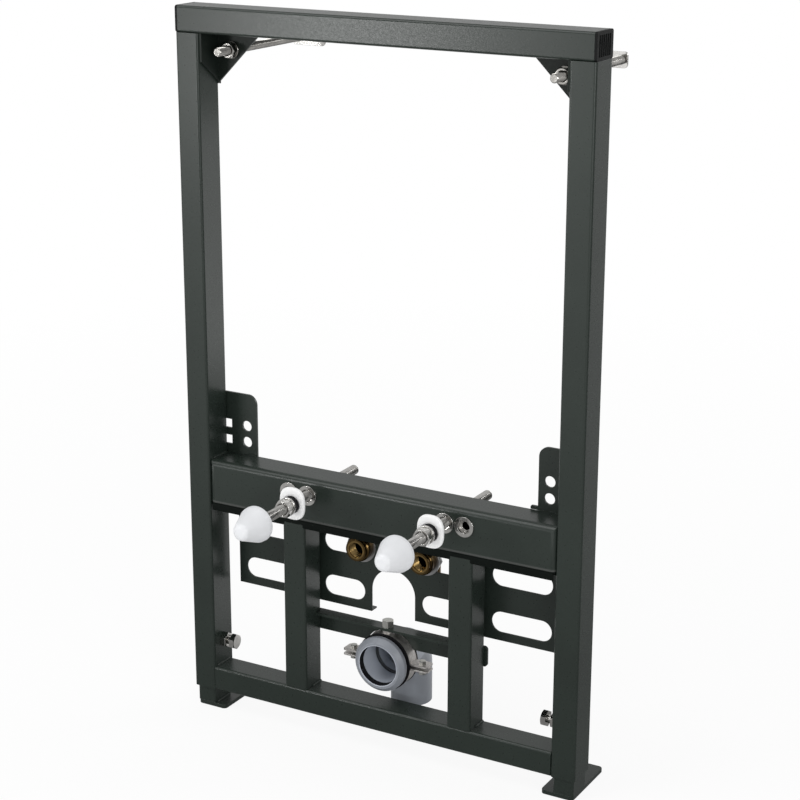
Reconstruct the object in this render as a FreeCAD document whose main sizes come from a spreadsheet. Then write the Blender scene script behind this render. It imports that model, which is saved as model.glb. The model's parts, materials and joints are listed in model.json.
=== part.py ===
import FreeCAD, Part
import os
import re
import Sketcher

# Installation frame for a wall-hung bidet: a welded steel frame on two telescopic legs,
# with the rods to the wall behind it, the studs that carry the bidet, a slotted plate
# with the water elbows, and the drain elbow in its clamp.
# Millimetres, +Z up, the room is on the -Y side. The origin lies on the floor, in the
# middle of the whole assembly.

SIZES = {
    # welded frame
    "frame_width": 515,
    "post_length": 800,
    "post_width": 30,
    "post_depth": 40,
    "top_rail_height": 30,
    "tube_wall": 2,
    "tube_corner": 3,
    "bottom_rail_height": 30,
    "bottom_rail_depth": 35,
    "inner_post_width": 30,
    "inner_post_depth": 35,
    "inner_post_offset": 110,
    # reach of the whole assembly, from the frame's front face
    "reach_front": 141,
    "reach_back": 181,
    # folded middle rail, levels from the foot of the posts
    "mid_rail_level": 240.5,
    "mid_rail_height": 58,
    "mid_rail_depth": 40,
    "mid_rail_bend": 7,
    "mid_rail_sheet": 2.5,
    # plastic plugs in the ends of the top rail
    "cap_flange": 3,
    "cap_plug": 16,
    "cap_rib_pitch": 5,
    "cap_rib_width": 1.6,
    "cap_rib_depth": 1,
    "cap_rib_margin": 4,
    # legs and feet
    "leg_out": 20,
    "leg_length": 290,
    "leg_gap": 0.5,
    "foot_width": 40,
    "foot_length": 84,
    "foot_thickness": 5,
    "foot_corner": 5,
    "foot_hole": 9,
    "foot_hole_from_back": 16,
    # bolts that clamp the legs
    "clamp_level": 60,
    "clamp_from_face": 20.5,
    "clamp_thread": 10,
    "clamp_flats": 17,
    "clamp_nut_height": 8,
    "clamp_head_height": 6.5,
    "clamp_bolt_free": 5.5,
    "clamp_tip_gap": 0.3,
    # corner gussets
    "gusset_leg": 60,
    "gusset_front_leg": 32,
    "gusset_sheet": 3,
    # rods and lugs to the wall behind
    "rod_thread": 10,
    "rod_inset": 20.5,
    "rod_front": 8,
    "rod_flats": 17,
    "rod_nut_height": 8,
    "rod_washer": 20,
    "rod_washer_height": 2,
    "lug_length": 44,
    "lug_height": 18,
    "lug_sheet": 3,
    "lug_corner": 4,
    "lug_end": 8,
    "lug_hole": 9,
    "lug_hole_from_end": 10,
    # perforated side brackets
    "bracket_inset": 42,
    "bracket_overlap": 18,
    "bracket_rise": 75,
    "bracket_sheet": 3,
    "bracket_corner": 12,
    "bracket_hole": 13,
    "bracket_hole_inset": 14,
    "bracket_hole_pitch": 20,
    "bracket_hole_drop": 39.5,
    "bracket_square": 11,
    "bracket_square_pitch": 27,
    "bracket_toe": 9,
    "bracket_toe_height": 4.5,
    "bracket_toe_corner": 2,
    # slotted plate, levels from the foot of the posts
    "plate_width": 432,
    "plate_bottom": 130.5,
    "plate_top": 262,
    "plate_sheet": 2,
    "plate_flange": 12,
    "slot_height": 25,
    "lower_slot_level": 153.5,
    "upper_slot_level": 210,
    "outer_slot_start": 129.5,
    "outer_slot_length": 75.5,
    "inner_slot_end": 93.5,
    "lower_inner_slot_length": 55,
    "archway_width": 58,
    "archway_spring": 159,
    # water elbows
    "elbow_offset": 42.5,
    "elbow_mouth": 14.5,
    "elbow_rim": 26.6,
    "elbow_rim_length": 3.5,
    "elbow_bore": 18.6,
    "elbow_bore_depth": 15,
    "elbow_shoulder": 31,
    "elbow_chamfer": 1.5,
    "elbow_ring": 34,
    "elbow_ring_height": 1.5,
    "elbow_neck": 24,
    "elbow_tail": 20,
    "elbow_passage": 12,
    "elbow_drop": 26,
    "lock_nut_flats": 32,
    "lock_nut_height": 5,
    "lock_nut_clear": 0.5,
    # drain bar behind the inner posts
    "bar_top": 122.5,
    "bar_height": 25,
    "bar_sheet": 3,
    "bar_overhang": 3.5,
    "bar_flange": 16,
    "bar_corner": 4,
    "bar_notch_clear": 1,
    # drain elbow
    "drain_level": 81,
    "drain_front": 6,
    "drain_axis_back": 88,
    "socket_lip": 57,
    "socket_lip_length": 1.2,
    "socket_mouth": 49.6,
    "socket_flare_length": 5.5,
    "socket_rim": 67,
    "socket_rim_length": 10.5,
    "socket_neck_length": 13,
    "socket_body": 58,
    "socket_length": 44,
    "socket_bore": 50.4,
    "socket_depth": 42,
    "seal_outer": 55,
    "seal_bore": 48,
    "seal_length": 7.4,
    "pipe_diameter": 50,
    "pipe_wall": 2,
    "pipe_bend": 28,
    "pipe_end": 7,
    # clamp round the socket
    "clamp_line": 30.5,
    "band_width": 17,
    "band_sheet": 2,
    "lining_wall": 3,
    "lining_lip": 1.8,
    "lining_lip_rise": 0.6,
    "ear_reach": 22.5,
    "ear_screw_reach": 12.2,
    "ear_gap": 4,
    "ear_corner": 3,
    "ear_thread": 6,
    "ear_flats": 10,
    "ear_head_height": 4,
    "ear_nut_height": 5,
    "hanger_thread": 8,
    "hanger_flats": 13,
    "hanger_head": 8,
    "hanger_tip_gap": 0.3,
    # studs that carry the bidet
    "stud_spacing": 180,
    "spare_spacing": 230,
    "stud_level": 38,
    "stud_thread": 12,
    "stud_back": 107,
    "insert_flange": 24,
    "insert_flange_height": 1.8,
    "insert_body": 18,
    "insert_length": 20,
    "insert_mouth": 15,
    "insert_mouth_depth": 6,
    "insert_bore": 10.6,
    "bush_flange": 40,
    "bush_flange_height": 3.5,
    "bush_recess": 31,
    "bush_recess_depth": 1.5,
    "bush_hub": 18,
    "bush_hub_length": 6,
    "bush_front": 34.5,
    "stud_washer": 24,
    "stud_washer_height": 2.5,
    "stud_flats": 19,
    "stud_nut_height": 10,
    "guard_base": 41.8,
    "guard_length": 35.5,
    "guard_rim_length": 5,
    "guard_draft": 0.2,
    "guard_nose": 17.6,
    "guard_nose_round": 7,
    "guard_wall": 2,
    "guard_core": 17,
    "guard_core_depth": 26,
    "guard_bore_depth": 24,
    # gap between a round piece and the wall of the hole it sits in
    "thread_gap": 0.15,
}

doc = FreeCAD.newDocument("BidetFrame")
sheet = doc.addObject("Spreadsheet::Sheet", "Sizes")
for row, (size_name, size) in enumerate(SIZES.items(), 1):
    sheet.set("A%d" % row, size_name)
    sheet.set("B%d" % row, str(size))
    sheet.setAlias("B%d" % row, size_name)
doc.recompute()


def bind(text):
    """An expression in which each size name points at its cell."""
    return re.sub("[a-z_]+", lambda word: cell_of(word.group()), str(text))


def cell_of(word):
    return "Sizes." + word if word in SIZES else word


def number(text):
    return float(sheet.evalExpression(bind(text)))


# Lines and levels that several pieces share.
FACE = "((reach_front - reach_back) / 2)"
POST_FOOT = "(foot_thickness + leg_out)"
POST_TOP = "(%s + post_length)" % POST_FOOT
HALF = "(frame_width / 2)"
INNER_HALF = "(frame_width / 2 - post_width)"
FRAME_BACK = "(%s + post_depth)" % FACE
MID_FOOT = "(%s + mid_rail_level)" % POST_FOOT
MID_TOP = "(%s + mid_rail_height)" % MID_FOOT
STUD_Z = "(%s + stud_level)" % MID_FOOT
ROD_X = "(%s - rod_inset)" % INNER_HALF
ROD_Z = "(%s - rod_inset)" % POST_TOP
GUSSET_FACE = "(%s - gusset_sheet)" % FRAME_BACK
LUG_BACK = "(%s + reach_back)" % FACE
PLATE_FACE = "(%s + bracket_sheet)" % FRAME_BACK
PLATE_BACK = "(%s + plate_sheet)" % PLATE_FACE
INNER_BACK = "(%s + inner_post_depth)" % FACE
ELBOW_Z = "(%s + upper_slot_level)" % POST_FOOT
BAR_TOP = "(%s + bar_top)" % POST_FOOT
BAR_UNDER = "(%s - bar_sheet)" % BAR_TOP
DRAIN_Z = "(%s + drain_level)" % POST_FOOT
DRAIN_FACE = "(%s + drain_front)" % FACE
CLAMP_Y = "(%s + clamp_line)" % FACE
LINING_IN = "(socket_body + 2 * thread_gap)"
BAND_IN = "(%s + 2 * lining_wall + 2 * thread_gap)" % LINING_IN
BAND_OUT = "(%s + 2 * band_sheet)" % BAND_IN
BAND_TOP = "(%s + %s / 2)" % (DRAIN_Z, BAND_OUT)
EAR_X = "(%s / 2 + ear_screw_reach)" % BAND_OUT
GUARD_SLOPE = "((guard_base / 2 - guard_draft - guard_nose / 2) / (guard_length - guard_rim_length))"

UPRIGHT = FreeCAD.Rotation()
TO_BACK = FreeCAD.Rotation(FreeCAD.Vector(1, 0, 0), -90)
TO_RIGHT = FreeCAD.Rotation(FreeCAD.Vector(0, 1, 0), 90)
SIDES = (("left", -1), ("right", 1))
TOUCH = 1e-6

bodies = []


def new_body(label):
    body = doc.addObject("PartDesign::Body", label)
    body.Label = label
    bodies.append(body)
    return body


def feature(body, kind, name, where, turn, sizes):
    made = body.newObject("PartDesign::" + kind, body.Label + "_" + name)
    for key, text in sizes.items():
        made.setExpression(key, bind(text))
    made.Placement = FreeCAD.Placement(FreeCAD.Vector(), turn)
    for axis, text in zip("xyz", where):
        made.setExpression(".Placement.Base." + axis, bind(text))
    return made


def block(body, name, where, size, cut=False):
    kind = "SubtractiveBox" if cut else "AdditiveBox"
    return feature(body, kind, name, where, UPRIGHT, dict(zip(("Length", "Width", "Height"), size)))


def disc(body, name, where, diameter, height, turn=UPRIGHT, cut=False):
    kind = "SubtractiveCylinder" if cut else "AdditiveCylinder"
    return feature(body, kind, name, where, turn, {"Radius": "(%s) / 2" % diameter, "Height": height})


def hexagon(body, name, where, flats, height, turn=UPRIGHT):
    sizes = {"Circumradius": "(%s) / sqrt(3)" % flats, "Height": height}
    return feature(body, "AdditivePrism", name, where, turn, sizes)


def plane_of(body, role):
    return next(item for item in body.Origin.OriginFeatures if item.Role == role)


def outline(body, name, role, offset, corners):
    """Closed sketch of straight runs, each corner tied to the sheet."""
    sketch = body.newObject("Sketcher::SketchObject", body.Label + "_" + name)
    sketch.AttachmentSupport = [(plane_of(body, role), "")]
    sketch.MapMode = "FlatFace"
    for axis, text in zip("xyz", offset):
        sketch.setExpression(".AttachmentOffset.Base." + axis, bind(text))
    spots = [FreeCAD.Vector(number(across), number(up), 0) for across, up in corners]
    count = len(spots)
    for here in range(count):
        sketch.addGeometry(Part.LineSegment(spots[here], spots[(here + 1) % count]), False)
    for here in range(count):
        sketch.addConstraint(Sketcher.Constraint("Coincident", here, 2, (here + 1) % count, 1))
    for here, corner in enumerate(corners):
        for kind, text, start in zip(("DistanceX", "DistanceY"), corner, spots[here]):
            tie = sketch.addConstraint(Sketcher.Constraint(kind, -1, 1, here, 1, start))
            sketch.setExpression("Constraints[%d]" % tie, bind(text))
    return sketch


def pad(body, name, sketch, length):
    made = body.newObject("PartDesign::Pad", body.Label + "_" + name)
    made.Profile = sketch
    made.setExpression("Length", bind(length))
    return made


def turned(body, name, x, level, profile):
    """Lathe-turned form round an axis along Y, from (radius, y) corners."""
    sketch = outline(body, name + "Profile", "XY_Plane", (x, "0", level), profile)
    made = body.newObject("PartDesign::Revolution", body.Label + "_" + name)
    made.Profile = sketch
    made.ReferenceAxis = (sketch, ["V_Axis"])
    made.Angle = 360
    return made


def sleeve(inner, steps, end):
    """(radius, y) corners of a bored piece, from (diameter, y) steps front to back."""
    start = steps[0][1]
    corners = [("(%s) / 2" % inner, start)]
    for place, (diameter, y) in enumerate(steps):
        last = steps[place + 1][1] if place + 1 < len(steps) else end
        corners.append(("(%s) / 2" % diameter, y))
        corners.append(("(%s) / 2" % diameter, last))
    corners.append(("(%s) / 2" % inner, end))
    return corners


def round_edges(body, name, wanted, radius):
    """Fillet on the edges of the body's shape so far that pass the test."""
    doc.recompute()
    base = body.Tip
    picked = ["Edge%d" % place for place, edge in enumerate(base.Shape.Edges, 1) if wanted(edge)]
    made = body.newObject("PartDesign::Fillet", body.Label + "_" + name)
    made.Base = (base, picked)
    made.setExpression("Radius", bind(radius))
    doc.recompute()
    return made


def runs_along(axis):
    def wanted(edge):
        box = edge.BoundBox
        spans = {"x": box.XLength, "y": box.YLength, "z": box.ZLength}
        return all(spans[other] < TOUCH for other in spans if other != axis)

    return wanted


def lies_at(axis, text):
    place = number(text)

    def wanted(edge):
        box = edge.BoundBox
        low, high = {"x": (box.XMin, box.XMax), "y": (box.YMin, box.YMax), "z": (box.ZMin, box.ZMax)}[axis]
        return abs(low - place) < TOUCH and abs(high - place) < TOUCH

    return wanted


def both(first, second):
    return lambda edge: first(edge) and second(edge)


def mirrored(side, near, size):
    """Low X of a block whose near face lies that far from the middle plane."""
    return near if side > 0 else "-(%s) - (%s)" % (near, size)


def times(side, value):
    return "%d * (%s)" % (side, value)


def tube(label, axis, where, size):
    """Rectangular tube with rounded edges, open at both ends along one axis."""
    body = new_body(label)
    block(body, "Outside", where, size)
    round_edges(body, "Edges", runs_along(axis), "tube_corner")
    inside_at = ["%s + tube_wall" % low for low in where]
    inside = ["%s - 2 * tube_wall" % full for full in size]
    open_way = "xyz".index(axis)
    inside_at[open_way] = where[open_way]
    inside[open_way] = size[open_way]
    block(body, "Inside", inside_at, inside, cut=True)
    return body


def make_top_rail():
    size = ("frame_width - 2 * cap_flange", "post_depth", "top_rail_height")
    tube("top_rail", "x", ("cap_flange - %s" % HALF, FACE, POST_TOP), size)


def make_end_cap(word, side):
    """Plastic plug whose ribbed flange closes one end of the top rail."""
    body = new_body(word + "_end_cap")
    flange_x = mirrored(side, "%s - cap_flange" % HALF, "cap_flange")
    block(body, "Flange", (flange_x, FACE, POST_TOP), ("cap_flange", "post_depth", "top_rail_height"))
    round_edges(body, "Edges", runs_along("x"), "tube_corner")
    inset = "tube_wall + thread_gap"
    plug_x = mirrored(side, "%s - cap_flange - cap_plug" % HALF, "cap_plug")
    block(body, "Plug", (plug_x, "%s + %s" % (FACE, inset), "%s + %s" % (POST_TOP, inset)),
          ("cap_plug", "post_depth - 2 * (%s)" % inset, "top_rail_height - 2 * (%s)" % inset))
    groove_x = mirrored(side, "%s - cap_rib_depth" % HALF, "cap_rib_depth")
    groove = ("cap_rib_depth", "cap_rib_pitch - cap_rib_width", "top_rail_height - 2 * cap_rib_margin")
    for step in range(int(number("(post_depth - 2 * cap_rib_margin) / cap_rib_pitch"))):
        groove_y = "%s + cap_rib_margin + %d * cap_rib_pitch + cap_rib_width / 2" % (FACE, step)
        block(body, "Groove%d" % step, (groove_x, groove_y, "%s + cap_rib_margin" % POST_TOP), groove, cut=True)


def make_post(word, side):
    where = (mirrored(side, INNER_HALF, "post_width"), FACE, POST_FOOT)
    body = tube(word + "_post", "z", where, ("post_width", "post_depth", "post_length"))
    hole = (mirrored(side, INNER_HALF, "tube_wall"), "%s + clamp_from_face" % FACE,
            "%s + clamp_level" % POST_FOOT)
    disc(body, "BoltHole", hole, "clamp_thread + 2 * thread_gap", "tube_wall", TO_RIGHT, cut=True)


def make_mid_rail():
    """Folded pan: front, top, bottom and both ends, open at the back."""
    body = new_body("mid_rail")
    block(body, "Block", ("-%s" % INNER_HALF, FACE, MID_FOOT),
          ("2 * %s" % INNER_HALF, "mid_rail_depth", "mid_rail_height"))
    folded = round_edges(body, "Bends", lies_at("y", FACE), "mid_rail_bend")
    back = number("%s + mid_rail_depth" % FACE)
    open_faces = ["Face%d" % place for place, face in enumerate(folded.Shape.Faces, 1)
                  if abs(face.CenterOfMass.y - back) < TOUCH]
    pan = body.newObject("PartDesign::Thickness", "mid_rail_Pan")
    pan.Base = (folded, open_faces)
    pan.setExpression("Value", bind("mid_rail_sheet"))
    pan.Reversed = True
    pan.Mode = 0
    pan.Join = 0
    doc.recompute()
    for spacing in ("stud_spacing", "spare_spacing"):
        for word, side in SIDES:
            disc(body, "Hole_%s_%s" % (spacing, word), (times(side, spacing + " / 2"), FACE, STUD_Z),
                 "insert_body + 2 * thread_gap", "mid_rail_sheet", TO_BACK, cut=True)


def make_bottom_rail():
    tube("bottom_rail", "x", ("-%s" % INNER_HALF, FACE, POST_FOOT),
         ("2 * %s" % INNER_HALF, "bottom_rail_depth", "bottom_rail_height"))


def make_inner_post(word, side):
    near = "inner_post_offset - inner_post_width / 2"
    tube(word + "_inner_post", "z",
         (mirrored(side, near, "inner_post_width"), FACE, "%s + bottom_rail_height" % POST_FOOT),
         ("inner_post_width", "inner_post_depth", "mid_rail_level - bottom_rail_height"))


def make_leg(word, side):
    inset = "(tube_wall + leg_gap)"
    width = "(post_width - 2 * %s)" % inset
    near = "%s + %s" % (INNER_HALF, inset)
    tube(word + "_leg", "z", (mirrored(side, near, width), "%s + %s" % (FACE, inset), "foot_thickness"),
         (width, "post_depth - 2 * %s" % inset, "leg_length"))


def make_foot(word, side):
    """Foot plate, flush with the leg's front and outer faces."""
    body = new_body(word + "_foot")
    near = "%s - tube_wall - leg_gap - foot_width" % HALF
    front = "%s + tube_wall + leg_gap" % FACE
    block(body, "Plate", (mirrored(side, near, "foot_width"), front, "0"),
          ("foot_width", "foot_length", "foot_thickness"))
    round_edges(body, "Corners", runs_along("z"), "foot_corner")
    hole = (times(side, "%s + foot_width / 2" % near), "%s + foot_length - foot_hole_from_back" % front, "0")
    disc(body, "Hole", hole, "foot_hole", "foot_thickness", cut=True)


def make_clamp_bolts():
    """Hex bolts through the posts' inner walls, their tips against the legs."""
    nuts = new_body("clamp_weld_nuts")
    across = "%s + clamp_from_face" % FACE
    level = "%s + clamp_level" % POST_FOOT
    for word, side in SIDES:
        nut_near = "%s - clamp_nut_height" % INNER_HALF
        nut_at = (mirrored(side, nut_near, "clamp_nut_height"), across, level)
        hexagon(nuts, word + "Hex", nut_at, "clamp_flats", "clamp_nut_height", TO_RIGHT)
        disc(nuts, word + "Bore", nut_at, "clamp_thread + 2 * thread_gap", "clamp_nut_height",
             TO_RIGHT, cut=True)
        bolt = new_body(word + "_clamp_bolt")
        shank_near = "%s - clamp_bolt_free" % nut_near
        shank = "clamp_bolt_free + clamp_nut_height + tube_wall + leg_gap - clamp_tip_gap"
        disc(bolt, "Shank", (mirrored(side, shank_near, shank), across, level), "clamp_thread", shank, TO_RIGHT)
        head_near = "%s - clamp_head_height" % shank_near
        hexagon(bolt, "Head", (mirrored(side, head_near, "clamp_head_height"), across, level),
                "clamp_flats", "clamp_head_height", TO_RIGHT)


def make_gusset(word, side):
    """Folded corner plate: a triangle at the back, a slanted flange against the post."""
    body = new_body(word + "_gusset")
    low = "%s - gusset_leg" % POST_TOP
    triangle = ((times(side, INNER_HALF), POST_TOP), (times(side, "%s - gusset_leg" % INNER_HALF), POST_TOP),
                (times(side, INNER_HALF), low))
    pad(body, "Web", outline(body, "Triangle", "XZ_Plane", ("0", "0", "-%s" % FRAME_BACK), triangle),
        "gusset_sheet")
    front = "%s + tube_corner" % FACE
    flank = ((FRAME_BACK, POST_TOP), (FRAME_BACK, low), (front, "%s - gusset_front_leg" % POST_TOP),
             (front, POST_TOP))
    flange_x = mirrored(side, "%s - gusset_sheet" % INNER_HALF, "gusset_sheet")
    pad(body, "Flange", outline(body, "Flank", "YZ_Plane", ("0", "0", flange_x), flank), "gusset_sheet")
    disc(body, "RodHole", (times(side, ROD_X), GUSSET_FACE, ROD_Z), "rod_thread + 2 * thread_gap",
         "gusset_sheet", TO_BACK, cut=True)


def make_wall_rod(word, side):
    rod = new_body(word + "_wall_rod")
    disc(rod, "Rod", (times(side, ROD_X), "%s + rod_front" % FACE, ROD_Z), "rod_thread",
         "reach_back - rod_front", TO_BACK)


def make_wall_lug(word, side):
    lug = new_body(word + "_wall_lug")
    near = "%s + lug_end - lug_length" % ROD_X
    face = "%s - lug_sheet" % LUG_BACK
    block(lug, "Plate", (mirrored(side, near, "lug_length"), face, "%s - lug_height / 2" % ROD_Z),
          ("lug_length", "lug_sheet", "lug_height"))
    round_edges(lug, "Corners", runs_along("y"), "lug_corner")
    disc(lug, "RodHole", (times(side, ROD_X), face, ROD_Z), "rod_thread + 2 * thread_gap",
         "lug_sheet", TO_BACK, cut=True)
    disc(lug, "ScrewHole", (times(side, "%s + lug_hole_from_end" % near), face, ROD_Z), "lug_hole",
         "lug_sheet", TO_BACK, cut=True)


def make_rod_nuts():
    """A nut on each side of each gusset, the front one with a washer."""
    nuts = new_body("rod_nuts")
    for word, side in SIDES:
        x = times(side, ROD_X)
        washer_y = "%s - rod_washer_height" % GUSSET_FACE
        front_y = "%s - rod_nut_height" % washer_y
        disc(nuts, word + "Washer", (x, washer_y, ROD_Z), "rod_washer", "rod_washer_height", TO_BACK)
        hexagon(nuts, word + "Front", (x, front_y, ROD_Z), "rod_flats", "rod_nut_height", TO_BACK)
        disc(nuts, word + "FrontBore", (x, front_y, ROD_Z), "rod_thread + 2 * thread_gap",
             "rod_nut_height + rod_washer_height", TO_BACK, cut=True)
        hexagon(nuts, word + "Back", (x, FRAME_BACK, ROD_Z), "rod_flats", "rod_nut_height", TO_BACK)
        disc(nuts, word + "BackBore", (x, FRAME_BACK, ROD_Z), "rod_thread + 2 * thread_gap",
             "rod_nut_height", TO_BACK, cut=True)


def make_side_bracket(word, side):
    """Perforated plate behind a post, rising above the middle rail."""
    body = new_body(word + "_side_bracket")
    near = "%s - bracket_inset" % INNER_HALF
    width = "bracket_inset + bracket_overlap"
    block(body, "Plate", (mirrored(side, near, width), FRAME_BACK, MID_FOOT),
          (width, "bracket_sheet", "mid_rail_height + bracket_rise"))
    upper_inner = both(lies_at("z", "%s + bracket_rise" % MID_TOP), lies_at("x", times(side, near)))
    round_edges(body, "Corner", upper_inner, "bracket_corner")
    if side > 0:
        toe_x = "%s - bracket_toe" % near
        block(body, "Toe", (toe_x, FRAME_BACK, MID_TOP), ("bracket_toe", "bracket_sheet", "bracket_toe_height"))
        toe_edge = both(lies_at("z", "%s + bracket_toe_height" % MID_TOP), lies_at("x", toe_x))
        round_edges(body, "ToeCorner", toe_edge, "bracket_toe_corner")
    hole_x = "%s + bracket_hole_inset" % near
    square_near = "%s + bracket_square_pitch - bracket_square / 2" % hole_x
    for step in range(2):
        level = "%s + bracket_rise - bracket_hole_drop - %d * bracket_hole_pitch" % (MID_TOP, step)
        disc(body, "Hole%d" % step, (times(side, hole_x), FRAME_BACK, level), "bracket_hole",
             "bracket_sheet", TO_BACK, cut=True)
        corner = (mirrored(side, square_near, "bracket_square"), FRAME_BACK, "%s - bracket_square / 2" % level)
        block(body, "Square%d" % step, corner, ("bracket_square", "bracket_sheet", "bracket_square"), cut=True)


def cut_slot(body, name, start, length, level):
    """Round-ended slot through the slotted plate, from its low X end."""
    low = "%s + slot_height / 2" % start
    base = "%s + %s" % (POST_FOOT, level)
    block(body, name + "Run", (low, PLATE_FACE, "%s - slot_height / 2" % base),
          ("(%s) - slot_height" % length, "plate_sheet", "slot_height"), cut=True)
    ends = {"Low": low, "High": "%s + (%s) - slot_height / 2" % (start, length)}
    for word, across in ends.items():
        disc(body, name + word, (across, PLATE_FACE, base), "slot_height", "plate_sheet", TO_BACK, cut=True)


def make_slotted_plate():
    """Plate for the water elbows: two rows of slots, an archway and a folded lower edge."""
    body = new_body("slotted_plate")
    foot_z = "%s + plate_bottom" % POST_FOOT
    block(body, "Web", ("-plate_width / 2", PLATE_FACE, foot_z),
          ("plate_width", "plate_sheet", "plate_top - plate_bottom"))
    block(body, "Flange", ("-plate_width / 2", PLATE_FACE, foot_z),
          ("plate_width", "plate_flange", "plate_sheet"))
    upper_inner_length = "inner_slot_end - elbow_offset + slot_height / 2"
    slots = (
        ("OuterLow", "outer_slot_start", "outer_slot_length", "lower_slot_level"),
        ("OuterHigh", "outer_slot_start", "outer_slot_length", "upper_slot_level"),
        ("InnerLow", "inner_slot_end - lower_inner_slot_length", "lower_inner_slot_length", "lower_slot_level"),
        ("InnerHigh", "elbow_offset - slot_height / 2", upper_inner_length, "upper_slot_level"),
    )
    for word, side in SIDES:
        for name, near, length, level in slots:
            cut_slot(body, word + name, mirrored(side, near, length), length, level)
    block(body, "Archway", ("-archway_width / 2", PLATE_FACE, foot_z),
          ("archway_width", "plate_flange", "archway_spring - plate_bottom"), cut=True)
    disc(body, "Arch", ("0", PLATE_FACE, "%s + archway_spring" % POST_FOOT), "archway_width",
         "plate_sheet", TO_BACK, cut=True)


def make_water_elbows():
    """Brass elbows: threaded mouth to the front, tail down behind the plate."""
    nuts = new_body("elbow_lock_nuts")
    mouth = "%s - elbow_mouth" % PLATE_FACE
    shoulder = "%s + elbow_rim_length" % mouth
    ring = "%s - elbow_ring_height" % PLATE_FACE
    nut_back = "%s + lock_nut_height" % PLATE_BACK
    barrel_back = "%s + lock_nut_clear / 2" % nut_back
    tail_y = "%s + lock_nut_clear + elbow_tail / 2" % nut_back
    profile = (("0", mouth), ("elbow_rim / 2", mouth), ("elbow_rim / 2", shoulder),
               ("elbow_shoulder / 2 - elbow_chamfer", shoulder),
               ("elbow_shoulder / 2", "%s + elbow_chamfer" % shoulder), ("elbow_shoulder / 2", ring),
               ("elbow_neck / 2", ring), ("elbow_neck / 2", barrel_back), ("0", barrel_back))
    for word, side in SIDES:
        x = times(side, "elbow_offset")
        body = new_body(word + "_water_elbow")
        turned(body, "Barrel", x, ELBOW_Z, profile)
        disc(nuts, word + "Ring", (x, ring, ELBOW_Z), "elbow_ring", "elbow_ring_height", TO_BACK)
        disc(nuts, word + "RingBore", (x, ring, ELBOW_Z), "elbow_neck + 2 * thread_gap",
             "elbow_ring_height", TO_BACK, cut=True)
        disc(body, "Arm", (x, nut_back, ELBOW_Z), "elbow_tail", "lock_nut_clear + elbow_tail / 2", TO_BACK)
        feature(body, "AdditiveSphere", "Knee", (x, tail_y, ELBOW_Z), UPRIGHT, {"Radius": "elbow_tail / 2"})
        disc(body, "Tail", (x, tail_y, "%s - elbow_drop" % ELBOW_Z), "elbow_tail", "elbow_drop")
        disc(body, "Bore", (x, mouth, ELBOW_Z), "elbow_bore", "elbow_bore_depth", TO_BACK, cut=True)
        disc(body, "Passage", (x, mouth, ELBOW_Z), "elbow_passage", "(%s) - (%s)" % (tail_y, mouth),
             TO_BACK, cut=True)
        disc(body, "TailPassage", (x, tail_y, "%s - elbow_drop" % ELBOW_Z), "elbow_passage", "elbow_drop",
             cut=True)
        hexagon(nuts, word + "Hex", (x, PLATE_BACK, ELBOW_Z), "lock_nut_flats", "lock_nut_height", TO_BACK)
        disc(nuts, word + "Bore", (x, PLATE_BACK, ELBOW_Z), "elbow_neck + 2 * thread_gap",
             "lock_nut_height", TO_BACK, cut=True)


def make_drain_bar():
    """Angle behind the inner posts: a flange forward between them, a notch for the drain."""
    body = new_body("drain_bar")
    half = "(inner_post_offset + inner_post_width / 2 + bar_overhang)"
    block(body, "Web", ("-%s" % half, INNER_BACK, "%s - bar_height" % BAR_TOP),
          ("2 * %s" % half, "bar_sheet", "bar_height"))
    round_edges(body, "Ends", runs_along("y"), "bar_corner")
    inner = "(inner_post_offset - inner_post_width / 2)"
    block(body, "Flange", ("-%s" % inner, "%s + bar_sheet - bar_flange" % INNER_BACK, BAR_UNDER),
          ("2 * %s" % inner, "bar_flange", "bar_sheet"))
    disc(body, "Notch", ("0", INNER_BACK, DRAIN_Z), "%s + 2 * bar_notch_clear" % BAND_OUT, "bar_sheet",
         TO_BACK, cut=True)
    boss_room = "(hanger_flats / 2 + bar_notch_clear)"
    block(body, "BossRoom", ("-%s" % boss_room, INNER_BACK, DRAIN_Z),
          ("2 * %s" % boss_room, "bar_sheet", "%s - %s" % (BAR_UNDER, DRAIN_Z)), cut=True)
    disc(body, "HangerHole", ("0", CLAMP_Y, BAR_UNDER), "hanger_thread + 2 * thread_gap", "bar_sheet", cut=True)


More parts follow.
